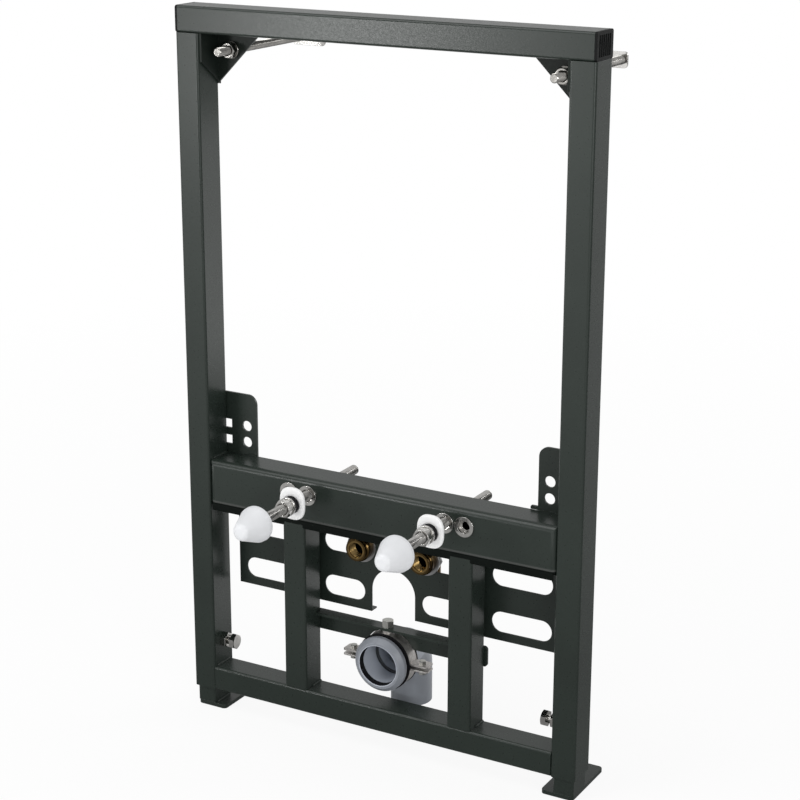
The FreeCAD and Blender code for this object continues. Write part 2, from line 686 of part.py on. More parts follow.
def make_clamp_half(word, up):
    """Half of the steel band, with an ear on each side."""
    body = new_body("clamp_%s_half" % word)
    front = "%s - band_width / 2" % CLAMP_Y
    reach = "(%s / 2 + ear_reach)" % BAND_OUT
    ear_low = "%s + ear_gap / 2" % DRAIN_Z if up else "%s - ear_gap / 2 - band_sheet" % DRAIN_Z
    other_half = "%s + ear_gap / 2 - %s" % (DRAIN_Z, BAND_OUT) if up else "%s - ear_gap / 2" % DRAIN_Z
    block(body, "Ears", ("-%s" % reach, front, ear_low), ("2 * %s" % reach, "band_width", "band_sheet"))
    round_edges(body, "EarCorners", runs_along("z"), "ear_corner")
    disc(body, "Ring", ("0", front, DRAIN_Z), BAND_OUT, "band_width", TO_BACK)
    disc(body, "Bore", ("0", front, DRAIN_Z), BAND_IN, "band_width", TO_BACK, cut=True)
    block(body, "OtherHalf", ("-%s" % reach, front, other_half), ("2 * %s" % reach, "band_width", BAND_OUT),
          cut=True)
    for place, side in SIDES:
        disc(body, "EarHole_" + place, (times(side, EAR_X), CLAMP_Y, ear_low), "ear_thread + 2 * thread_gap",
             "band_sheet", cut=True)
    if up:
        boss_low = "%s - band_sheet / 2" % BAND_TOP
        disc(body, "Boss", ("0", CLAMP_Y, boss_low), "hanger_flats", "%s - (%s)" % (BAR_UNDER, boss_low))
        bore_low = "%s - 2 * band_sheet" % BAND_TOP
        disc(body, "BossBore", ("0", CLAMP_Y, bore_low), "hanger_thread + 2 * thread_gap",
             "%s - (%s)" % (BAR_UNDER, bore_low), cut=True)


def make_clamp_lining():
    """Rubber lining whose two lips fold up round the edges of the band."""
    body = new_body("clamp_lining")
    edge = "%s - band_width / 2 - thread_gap" % CLAMP_Y
    far_edge = "%s + band_width / 2 + thread_gap" % CLAMP_Y
    lip = "%s + 2 * lining_lip_rise" % BAND_OUT
    steps = ((lip, "%s - lining_lip" % edge), ("%s + 2 * lining_wall" % LINING_IN, edge), (lip, far_edge))
    turned(body, "Ring", "0", DRAIN_Z, sleeve(LINING_IN, steps, "%s + lining_lip" % far_edge))


def make_clamp_screws():
    screws = new_body("clamp_screws")
    for word, side in SIDES:
        x = times(side, EAR_X)
        nut_low = "%s - ear_gap / 2 - band_sheet - ear_nut_height" % DRAIN_Z
        hexagon(screws, word + "Nut", (x, CLAMP_Y, nut_low), "ear_flats", "ear_nut_height")
        disc(screws, word + "Shank", (x, CLAMP_Y, nut_low), "ear_thread",
             "ear_nut_height + 2 * band_sheet + ear_gap")
        hexagon(screws, word + "Head", (x, CLAMP_Y, "%s + ear_gap / 2 + band_sheet" % DRAIN_Z),
                "ear_flats", "ear_head_height")


def make_hanger_bolt():
    bolt = new_body("clamp_hanger_bolt")
    tip = "%s - band_sheet + hanger_tip_gap" % BAND_TOP
    disc(bolt, "Shank", ("0", CLAMP_Y, tip), "hanger_thread", "%s - (%s)" % (BAR_TOP, tip))
    hexagon(bolt, "Head", ("0", CLAMP_Y, BAR_TOP), "hanger_flats", "hanger_head")


def add_run(body, name, diameter, cut):
    """The bend and the straight run down of the drain pipe, at one diameter."""
    bend_y = "%s + drain_axis_back - pipe_bend" % FACE
    kind = "SubtractiveTorus" if cut else "AdditiveTorus"
    # The torus lies in the YZ plane, and its quarter runs from the top round to the back.
    turn = FreeCAD.Rotation(FreeCAD.Vector(0, 1, 0), FreeCAD.Vector(0, 0, 1), FreeCAD.Vector(1, 0, 0), "ZXY")
    sizes = {"Radius1": "pipe_bend", "Radius2": "(%s) / 2" % diameter, "Angle1": "-180", "Angle2": "180",
             "Angle3": "90"}
    feature(body, kind, name + "Bend", ("0", bend_y, "%s - pipe_bend" % DRAIN_Z), turn, sizes)
    foot_z = "%s + pipe_end" % POST_FOOT
    disc(body, name + "Down", ("0", "%s + drain_axis_back" % FACE, foot_z), diameter,
         "drain_level - pipe_bend - pipe_end", cut=cut)


def make_drain_elbow():
    """Grey socket to the front, quarter bend, and a spigot down behind the bottom rail."""
    body = new_body("drain_elbow")
    back = "%s + socket_length" % DRAIN_FACE
    groove = "%s + socket_lip_length" % DRAIN_FACE
    profile = (("0", DRAIN_FACE), ("socket_lip / 2", DRAIN_FACE),
               ("socket_rim / 2", "%s + socket_flare_length" % DRAIN_FACE),
               ("socket_rim / 2", "%s + socket_rim_length" % DRAIN_FACE),
               ("socket_body / 2", "%s + socket_neck_length" % DRAIN_FACE),
               ("socket_body / 2", back), ("0", back))
    turned(body, "Socket", "0", DRAIN_Z, profile)
    level_run = "drain_axis_back - pipe_bend - drain_front"
    disc(body, "Level", ("0", DRAIN_FACE, DRAIN_Z), "pipe_diameter", level_run, TO_BACK)
    add_run(body, "Pipe", "pipe_diameter", False)
    add_run(body, "Way", "pipe_diameter - 2 * pipe_wall", True)
    disc(body, "WayIn", ("0", DRAIN_FACE, DRAIN_Z), "pipe_diameter - 2 * pipe_wall", level_run, TO_BACK, cut=True)
    disc(body, "Mouth", ("0", DRAIN_FACE, DRAIN_Z), "socket_mouth", "socket_lip_length", TO_BACK, cut=True)
    disc(body, "Groove", ("0", groove, DRAIN_Z), "seal_outer + 2 * thread_gap", "seal_length",
         TO_BACK, cut=True)
    disc(body, "Bore", ("0", groove, DRAIN_Z), "socket_bore", "socket_depth - socket_lip_length",
         TO_BACK, cut=True)


def make_drain_seal():
    body = new_body("drain_seal")
    front = "%s + socket_lip_length" % DRAIN_FACE
    turned(body, "Ring", "0", DRAIN_Z, sleeve("seal_bore", (("seal_outer", front),), "%s + seal_length" % front))


def make_stud(word, side):
    body = new_body(word + "_stud")
    tip = "%s - reach_front + guard_length - guard_bore_depth" % FACE
    disc(body, "Rod", (times(side, "stud_spacing / 2"), tip, STUD_Z), "stud_thread",
         "reach_front - guard_length + guard_bore_depth + stud_back", TO_BACK)


def make_stud_guard(word, side):
    """Thin-walled plastic guard on the front end of a stud: a blunt cone with a round nose,
    and inside it a sleeve for the thread."""
    body = new_body(word + "_stud_cap")
    x = times(side, "stud_spacing / 2")
    nose = "%s - reach_front" % FACE
    base = "%s + guard_length" % nose
    rim = "%s - guard_rim_length" % base
    core_front = "%s - guard_core_depth" % base
    bore = "(stud_thread / 2 + thread_gap)"
    bore_front = "%s - guard_bore_depth" % base
    cone_root = "(guard_base / 2 - guard_draft)"
    cavity_front = "%s - %s * (guard_core_depth - guard_rim_length) - guard_wall" % (cone_root, GUARD_SLOPE)
    profile = (("0", nose), ("guard_nose / 2", nose), (cone_root, rim), ("guard_base / 2", base),
               ("guard_base / 2 - guard_wall", base), ("%s - guard_wall" % cone_root, rim),
               (cavity_front, core_front), ("guard_core / 2", core_front), ("guard_core / 2", base),
               (bore, base), (bore, bore_front), ("0", bore_front))
    turned(body, "Shell", x, STUD_Z, profile)
    round_edges(body, "Nose", both(lies_at("y", nose), lambda edge: edge.Closed), "guard_nose_round")


def make_stud_fittings():
    """Inserts in the rail, and on each stud a recessed bush, a washer and a nut."""
    inserts = new_body("stud_inserts")
    bushes = new_body("stud_bushes")
    nuts = new_body("stud_nuts")
    stud_hole = "stud_thread + 2 * thread_gap"
    insert_front = "%s - insert_flange_height" % FACE
    bush_front = "%s - bush_front" % FACE
    bush_step = "%s + bush_flange_height" % bush_front
    bush_floor = "%s + bush_recess_depth" % bush_front
    washer_y = "%s - stud_washer_height" % bush_floor
    nut_y = "%s - stud_nut_height" % washer_y
    rows = (("Stud", "stud_spacing / 2", stud_hole), ("Spare", "spare_spacing / 2", "insert_bore"))
    for word, side in SIDES:
        for row_name, offset, bore in rows:
            steps = (("insert_flange", insert_front), ("insert_body", FACE))
            at = times(side, offset)
            turned(inserts, row_name + word, at, STUD_Z, sleeve(bore, steps, "%s + insert_length" % FACE))
            disc(inserts, "Mouth" + row_name + word, (at, insert_front, STUD_Z), "insert_mouth",
                 "insert_mouth_depth", TO_BACK, cut=True)
        x = times(side, "stud_spacing / 2")
        steps = (("bush_flange", bush_front), ("bush_hub", bush_step))
        turned(bushes, word, x, STUD_Z, sleeve(stud_hole, steps, "%s + bush_hub_length" % bush_step))
        disc(bushes, word + "Recess", (x, bush_front, STUD_Z), "bush_recess", "bush_recess_depth",
             TO_BACK, cut=True)
        disc(nuts, word + "Washer", (x, washer_y, STUD_Z), "stud_washer", "stud_washer_height", TO_BACK)
        hexagon(nuts, word + "Hex", (x, nut_y, STUD_Z), "stud_flats", "stud_nut_height", TO_BACK)
        disc(nuts, word + "Bore", (x, nut_y, STUD_Z), stud_hole, "stud_nut_height + stud_washer_height",
             TO_BACK, cut=True)


make_top_rail()
make_mid_rail()
make_bottom_rail()
for side_word, side_sign in SIDES:
    make_end_cap(side_word, side_sign)
    make_post(side_word, side_sign)
    make_inner_post(side_word, side_sign)
    make_leg(side_word, side_sign)
    make_foot(side_word, side_sign)
    make_gusset(side_word, side_sign)
    make_wall_rod(side_word, side_sign)
    make_wall_lug(side_word, side_sign)
    make_side_bracket(side_word, side_sign)
    make_stud(side_word, side_sign)
    make_stud_guard(side_word, side_sign)
make_clamp_bolts()
make_rod_nuts()
make_slotted_plate()
make_water_elbows()
make_drain_bar()
make_clamp_half("upper", True)
make_clamp_half("lower", False)
make_clamp_lining()
make_clamp_screws()
make_hanger_bolt()
make_drain_elbow()
make_drain_seal()
make_stud_fittings()

doc.recompute()
faults = [item.Name for item in doc.Objects if "Invalid" in item.State or "Error" in item.State]
faults += [body.Label for body in bodies if body.Shape.isNull() or not body.Shape.isValid()]
if faults:
    raise RuntimeError("not built: " + ", ".join(faults))

os.makedirs("parts", exist_ok=True)
for body in bodies:
    body.Shape.exportStep("parts/%s.step" % body.Label)
    print(body.Label, len(body.Shape.Solids), "solids", round(body.Shape.Volume / 1000, 2), "cm3")
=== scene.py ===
import json
import math

import bmesh
import bpy
from mathutils import Matrix, Vector


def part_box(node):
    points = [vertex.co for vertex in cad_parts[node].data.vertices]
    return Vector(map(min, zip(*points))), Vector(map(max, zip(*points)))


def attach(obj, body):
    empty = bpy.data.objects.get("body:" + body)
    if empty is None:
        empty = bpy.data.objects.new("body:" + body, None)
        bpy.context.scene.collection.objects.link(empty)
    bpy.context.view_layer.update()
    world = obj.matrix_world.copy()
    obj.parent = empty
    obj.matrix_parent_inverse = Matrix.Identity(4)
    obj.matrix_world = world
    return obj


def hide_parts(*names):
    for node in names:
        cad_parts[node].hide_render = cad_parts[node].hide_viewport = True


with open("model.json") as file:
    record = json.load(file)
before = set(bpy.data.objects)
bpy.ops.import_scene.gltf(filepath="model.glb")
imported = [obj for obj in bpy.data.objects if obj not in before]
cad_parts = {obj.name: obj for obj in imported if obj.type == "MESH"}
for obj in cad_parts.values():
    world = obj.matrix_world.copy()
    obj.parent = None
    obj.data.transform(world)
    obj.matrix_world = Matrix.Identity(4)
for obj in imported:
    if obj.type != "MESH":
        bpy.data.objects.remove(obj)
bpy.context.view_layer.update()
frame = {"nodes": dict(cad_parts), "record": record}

# Installation frame for a wall-hung bidet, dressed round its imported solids.
# Metres, +Z up, the room is on the -Y side.

MM = 0.001
SIDES = (("left", -1), ("right", 1))
scene = bpy.context.scene

# Most of a noise's values lie between these two, and colours and roughness run between them.
NOISE_LOW, NOISE_HIGH = 0.3, 0.7
# Sockets of a Mix node for the amount and the two values, and its result.
MIX_NUMBERS, MIXED_NUMBER = (0, 2, 3), 0
MIX_COLOURS, MIXED_COLOUR = (0, 6, 7), 2
# What counts of each coordinate for the distance from a line along Y.
ROUND_Y = (1, 0, 1)


class Shade:
    """A procedural material whose nodes read the piece's own coordinates."""

    def __init__(self, name):
        self.material = bpy.data.materials.new(name)
        self.material.use_nodes = True
        self.nodes = self.material.node_tree.nodes
        self.links = self.material.node_tree.links
        self.surface = self.nodes["Principled BSDF"]
        self.where = self.nodes.new("ShaderNodeTexCoord").outputs["Object"]

    def link(self, out, into):
        self.links.new(out, into)

    def put(self, socket, value):
        """Gives a socket a number, a colour or another node's output."""
        if isinstance(value, tuple):
            socket.default_value = (*value, 1.0)
        elif isinstance(value, (int, float)):
            socket.default_value = value
        else:
            self.link(value, socket)

    def noise(self, scale, detail=2.0, roughness=0.5):
        made = self.nodes.new("ShaderNodeTexNoise")
        made.inputs["Scale"].default_value = scale
        made.inputs["Detail"].default_value = detail
        made.inputs["Roughness"].default_value = roughness
        self.link(self.where, made.inputs["Vector"])
        return made.outputs["Fac"]

    def cells(self, scale):
        """How far a place is from the middle of its cell, in a pattern of uneven cells."""
        made = self.nodes.new("ShaderNodeTexVoronoi")
        made.inputs["Scale"].default_value = scale
        self.link(self.where, made.inputs["Vector"])
        return made.outputs["Distance"]

    def ramp(self, value, stops):
        """A colour ramp over a value; stops are (place, colour)."""
        made = self.nodes.new("ShaderNodeValToRGB")
        ramp = made.color_ramp
        while len(ramp.elements) < len(stops):
            ramp.elements.new(0.5)
        for element, (place, colour) in zip(ramp.elements, stops):
            element.position = place
            element.color = (*colour, 1.0)
        self.link(value, made.inputs["Fac"])
        return made.outputs["Color"]

    def ranged(self, value, start, end, low, high):
        """A value between start and end, moved to between low and high."""
        made = self.nodes.new("ShaderNodeMapRange")
        made.inputs["From Min"].default_value = start
        made.inputs["From Max"].default_value = end
        made.inputs["To Min"].default_value = low
        made.inputs["To Max"].default_value = high
        self.link(value, made.inputs["Value"])
        return made.outputs["Result"]

    def spread(self, noise, low, high):
        return self.ranged(noise, NOISE_LOW, NOISE_HIGH, low, high)

    def mottled(self, noise, colour, dark, light):
        """A colour that a noise makes darker and lighter, by these shares."""
        stops = [(NOISE_LOW, scaled(colour, dark)), (NOISE_HIGH, scaled(colour, light))]
        return self.ramp(noise, stops)

    def blend(self, amount, first, second):
        """The first number where the amount is 0, the second where it is 1."""
        made = self.nodes.new("ShaderNodeMix")
        for place, value in zip(MIX_NUMBERS, (amount, first, second)):
            self.put(made.inputs[place], value)
        return made.outputs[MIXED_NUMBER]

    def mixed(self, how, amount, first, second):
        """Two colours, mixed in one of Blender's ways."""
        made = self.nodes.new("ShaderNodeMix")
        made.data_type = "RGBA"
        made.blend_type = how
        for place, value in zip(MIX_COLOURS, (amount, first, second)):
            self.put(made.inputs[place], value)
        return made.outputs[MIXED_COLOUR]

    def maths(self, first, second, how):
        """Two numbers, put together in one of Blender's ways."""
        made = self.nodes.new("ShaderNodeMath")
        made.operation = how
        for place, value in enumerate((first, second)):
            self.put(made.inputs[place], value)
        return made.outputs[0]

    def from_axis(self, centre):
        """How far a place is from a line along Y through a centre, or its mirror image in X."""
        last = self.where
        steps = (("ABSOLUTE", None), ("SUBTRACT", centre), ("MULTIPLY", ROUND_Y), ("LENGTH", None))
        for how, value in steps:
            made = self.nodes.new("ShaderNodeVectorMath")
            made.operation = how
            self.link(last, made.inputs[0])
            if value is not None:
                made.inputs[1].default_value = value
            last = made.outputs["Value" if how == "LENGTH" else "Vector"]
        return last

    def along(self, letter):
        """One coordinate: X, Y or Z."""
        split = self.nodes.new("ShaderNodeSeparateXYZ")
        self.link(self.where, split.inputs[0])
        return split.outputs[letter]

    def bump(self, height, depth, after=None):
        made = self.nodes.new("ShaderNodeBump")
        made.inputs["Distance"].default_value = depth
        made.inputs["Strength"].default_value = 1.0
        self.link(height, made.inputs["Height"])
        if after is not None:
            self.link(after, made.inputs["Normal"])
        return made.outputs["Normal"]

    def set(self, **values):
        """Sets inputs of the surface by name, and gives the finished material."""
        for key, value in values.items():
            self.put(self.surface.inputs[key.replace("_", " ")], value)
        return self.material


def scaled(colour, share):
    return tuple(channel * share for channel in colour)


PEEL_DEPTH = 0.000035
FULL = (1.0, 1.0, 1.0)
SPECK = (0.93, 0.93, 0.93)
# Painted shade on the sheet just below a fold, a painted highlight along the fold, and how little
# shines below it.
FOLD_PAINTED_SHADE = (0.25, 0.25, 0.25)
FOLD_PAINTED_HIGHLIGHT = (3.0, 2.3, 2.6)
FOLD_GLOSS = 0.08


def powder_coat(name, colour, roughness=0.29, gloss=0.36, painted_fold=None):
    """Satin powder coat: faint clouding, fine grain and orange peel.

    Below the level of a fold the sheet is painted darker as shade and shines less, with a painted
    highlight along the fold.
    """
    shade = Shade(name)
    grain = shade.noise(scale=2600.0, detail=1.0)
    base = shade.mottled(shade.noise(scale=9.0, detail=3.0), colour, 0.9, 1.12)
    speck = shade.ramp(grain, [(0.35, SPECK), (0.65, FULL)])
    skin = shade.bump(shade.noise(scale=420.0, roughness=0.6), PEEL_DEPTH)
    skin = shade.bump(grain, PEEL_DEPTH * 0.1, skin)
    finish = shade.mixed("MULTIPLY", 1.0, base, speck)
    # Painted shade below the fold's level, and a painted highlight along it.
    if painted_fold:
        level = shade.along("Z")
        place = shade.ranged(level, painted_fold - 1 * MM, painted_fold + 4 * MM, 0.0, 1.0)
        tone = shade.ramp(place, [(0.0, FOLD_PAINTED_SHADE), (0.2, FOLD_PAINTED_SHADE), (0.3, FOLD_PAINTED_HIGHLIGHT),
                                  (0.65, FOLD_PAINTED_HIGHLIGHT), (0.85, FULL)])
        finish = shade.mixed("MULTIPLY", 1.0, finish, tone)
        gloss = shade.ranged(level, painted_fold - 0.5 * MM, painted_fold + 0.5 * MM, FOLD_GLOSS, gloss)
    rough = shade.spread(shade.noise(scale=300.0), roughness - 0.02, roughness + 0.03)
    return shade.set(Base_Color=finish, Specular_IOR_Level=gloss, Normal=skin, Roughness=rough)


DRAWN_DEPTH = 0.000015
PIT_DEPTH = 0.000006
# What the cast skin of a fitting keeps of the colour of its turned parts.
CAST_SKIN = (0.38, 0.36, 0.34)


def plated(name, colour, roughness, mottle, wear=0.3, turned=None):
    """Plated steel or brass: mottled, faintly drawn, with small pits.

    Turned gives the axis and the radius inside which a casting is machined bright.
    """
    shade = Shade(name)
    drawn = shade.noise(scale=700.0, detail=3.0, roughness=0.6)
    cloud = shade.noise(scale=150.0, detail=4.0, roughness=0.6)
    base = shade.mottled(cloud, colour, 1 - mottle, 1 + mottle * 0.5)
    if turned:
        centre, radius = turned
        away = shade.from_axis(centre)
        cast = shade.ranged(away, radius, radius + 0.4 * MM, 0.0, 1.0)
        base = shade.mixed("MIX", cast, base, shade.mixed("MULTIPLY", 1.0, base, CAST_SKIN))
    uneven = shade.maths(cloud, drawn, "MULTIPLY")
    rough = shade.spread(uneven, roughness, roughness + wear)
    skin = shade.bump(drawn, DRAWN_DEPTH)
    skin = shade.bump(shade.noise(scale=3200.0, detail=1.0), PIT_DEPTH, skin)
    return shade.set(Base_Color=base, Metallic=1.0, Roughness=rough, Normal=skin)


def spangled(name, colour, roughness):
    """Galvanised strip with large soft spangles."""
    shade = Shade(name)
    spangles = shade.cells(260.0)
    tone = shade.ramp(spangles, [(0.0, scaled(colour, 1.12)), (1.0, scaled(colour, 0.7))])
    rough = shade.spread(shade.noise(scale=90.0, detail=3.0), roughness, roughness + 0.16)
    skin = shade.bump(shade.noise(scale=1500.0), 0.000008)
    return shade.set(Base_Color=tone, Metallic=1.0, Roughness=rough, Normal=skin)


# Depths in the drain socket: its painted shadow line starts and ends, and its pipe begins.
SHADOW_LINE_START = (0.0245, 0.0255)
SHADOW_LINE_END = (0.0286, 0.0292)
PIPE_START = (0.04, 0.048)
# What the shadow line, the pipe and the socket's wall show of the plastic's colour: painted shade
# on the line, painted light on the pipe and the wall.
SHADOW_LINE_SHARE, PIPE_LIGHT_SHARE, WALL_LIGHT_SHARE = 0.3, 1.5, 2.1


def moulded(name, colour, roughness, gloss, grain_depth, grain_scale=900.0, inside=None):
    """Moulded plastic or rubber: soft clouding and a fine tool grain.

    Inside gives the axis and radius of a socket whose wall and pipe are painted paler as lit, with
    a painted shadow line.
    """
    shade = Shade(name)
    base = shade.mottled(shade.noise(scale=35.0, detail=3.0), colour, 0.95, 1.04)
    rough = shade.spread(shade.noise(scale=220.0, detail=3.0), roughness - 0.05, roughness + 0.06)
    skin = shade.bump(shade.noise(scale=grain_scale, roughness=0.55), grain_depth)
    # Painted light on the socket's inner wall and its pipe, and a painted shadow line at the step.
    if inside:
        centre, radius = inside
        away = shade.from_axis(centre)
        wall = shade.ranged(away, radius, radius + 0.3 * MM, 1.0, 0.0)
        depth = shade.along("Y")
        shadow_line = shade.maths(shade.ranged(depth, *SHADOW_LINE_START, 0.0, 1.0),
                           shade.ranged(depth, *SHADOW_LINE_END, 1.0, 0.0), "MULTIPLY")
        lit_wall_colour = shade.mixed("MIX", shadow_line, scaled(colour, WALL_LIGHT_SHARE), scaled(colour, SHADOW_LINE_SHARE))
        pipe = shade.ranged(depth, *PIPE_START, 0.0, 1.0)
        base = shade.mixed("MIX", pipe, base, scaled(colour, PIPE_LIGHT_SHARE))
        base = shade.mixed("MIX", wall, base, lit_wall_colour)
    return shade.set(Base_Color=base, Roughness=rough, Specular_IOR_Level=gloss, Normal=skin)


ANTHRACITE = (0.0170, 0.0238, 0.0196)
# Level on the mid rail below which its paint carries painted shade, with a painted highlight just
# above.
RAIL_PAINTED_FOLD = 0.271
ELBOW_MOUTH = ((0.0425, 0, 0.235), 0.0109)
SOCKET = ((0, 0, 0.106), 0.0254)

PAINT = powder_coat("anthracite_paint", ANTHRACITE)
# A darker, duller copy of the anthracite for the set-back gussets: painted shade.
GUSSET_SHADED_PAINT = powder_coat("anthracite_paint_gusset_painted_shade", scaled(ANTHRACITE, 0.6), 0.4, 0.14)
# The mid rail's paint, with painted shade and a painted highlight at its fold.
RAIL_SHADED_PAINT = powder_coat("anthracite_paint_fold_shade_and_highlight", ANTHRACITE, painted_fold=RAIL_PAINTED_FOLD)
ZINC = plated("zinc", (0.56, 0.55, 0.53), 0.1, 0.2, 0.13)
ROD_ZINC = plated("rod_zinc", (0.38, 0.37, 0.35), 0.11, 0.25, 0.13)
DULL_ZINC = plated("dull_zinc", (0.52, 0.52, 0.49), 0.38, 0.12)
BAND = spangled("galvanised_band", (0.62, 0.60, 0.58), 0.42)
BRASS = plated("brass", (0.26, 0.175, 0.07), 0.2, 0.3, turned=ELBOW_MOUTH)
LOCK_NUT = plated("grey_metal", (0.36, 0.36, 0.36), 0.32, 0.14)
# The drain's grey, with painted light inside the socket and on the pipe, and a painted shadow line.
GREY = moulded("grey_plastic", (0.215, 0.23, 0.256), 0.4, 0.4, 0.000012, inside=SOCKET)
RUBBER = moulded("black_rubber", (0.006, 0.006, 0.007), 0.6, 0.14, 0.00002, 500.0)
WHITE = moulded("white_plastic", (0.74, 0.75, 0.77), 0.36, 0.4, 0.000008)
BUSH_WHITE = moulded("white_plastic_bush", (0.86, 0.86, 0.86), 0.42, 0.4, 0.000008)
BLACK = moulded("black_plastic", (0.005, 0.0055, 0.0055), 0.5, 0.12, 0.00002)

FINISHES = {
    "anthracite_paint": PAINT, "zinc": ZINC, "brass": BRASS, "grey_metal": LOCK_NUT,
    "grey_plastic": GREY, "black_rubber": RUBBER, "white_plastic": WHITE, "black_plastic": BLACK,
}
# Imported solids whose finish isn't the usual one of their slot: the mid rail with painted shade
# and a painted highlight at its fold, and the gussets in paint darkened as painted shade.
OWN_FINISHES = {
    "clamp_upper_half": BAND, "clamp_lower_half": BAND, "mid_rail": RAIL_SHADED_PAINT,
    "left_gusset": GUSSET_SHADED_PAINT, "right_gusset": GUSSET_SHADED_PAINT,
}
PACKED_EDGE = 0.0004


def soften(piece, width):
    """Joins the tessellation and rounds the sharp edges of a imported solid."""
    weld = piece.modifiers.new("Weld", "WELD")
    weld.merge_threshold = 0.00001
    flat = piece.modifiers.new("Flat", "DECIMATE")
    flat.decimate_type = "DISSOLVE"
    flat.angle_limit = math.radians(0.4)
    bevel = piece.modifiers.new("Bevel", "BEVEL")
    bevel.width = width
    bevel.segments = 2
    bevel.limit_method = "ANGLE"
    bevel.angle_limit = math.radians(35)
    bevel.miter_outer = "MITER_SHARP"
    normals = piece.modifiers.new("Normals", "WEIGHTED_NORMAL")
    normals.mode = "FACE_AREA_WITH_ANGLE"
    normals.weight = 80
    normals.keep_sharp = False


slot_of = {item["node"]: item["material_slot"] for item in frame["record"]["subparts"]}
for name, node in frame["nodes"].items():
    node.data.materials.clear()
    node.data.materials.append(OWN_FINISHES.get(name, FINISHES[slot_of[name]]))
    soften(node, PACKED_EDGE)


# The ways that an axis runs, each with the way that its first corner faces.
TO_BACK = ((0, 1, 0), (1, 0, 0))
UPRIGHT = ((0, 0, 1), (1, 0, 0))

# Shares of a nut's flats: the radius from which its ends are turned off, and the chamfer of
# its bore.
CROWN_SHARE = 0.474
LEAD_SHARE = 0.06
HEX_CONE = math.radians(30)

# Thread: steps to a turn, spare turns at its ends, the shares of the pitch at which its root
# ends and its crest starts and ends, and a screw's depth as a share of the pitch.
THREAD_STEPS = 24
SPARE_TURNS = 1.1
ROOT_END, CREST_START, CREST_END = 0.25, 0.5625, 0.6875
SCREW_DEPTH = 0.6134
# Thickness of the sleeve that carries a thread inside a bore, and the steps round its rim.
SLEEVE_WALL = 0.3 * MM
RIM_STEPS = 48

BEAD_STEPS, BEAD_SIDES = 40, 14
BEAD_RIPPLE = 0.0019


class Axis:
    """A line that parts are turned about, and the way that their first corner faces."""

    def __init__(self, base, along, corner):
        self.base = Vector(base)
        self.along = Vector(along)
        self.corner = Vector(corner)
        self.side = self.along.cross(self.corner)

    def spot(self, radius, angle, height):
        arm = self.corner * math.cos(angle) + self.side * math.sin(angle)
        return self.base + self.along * height + arm * radius


def axis_to_back(x, z, y=0.0):
    return Axis((x, y, z), *TO_BACK)


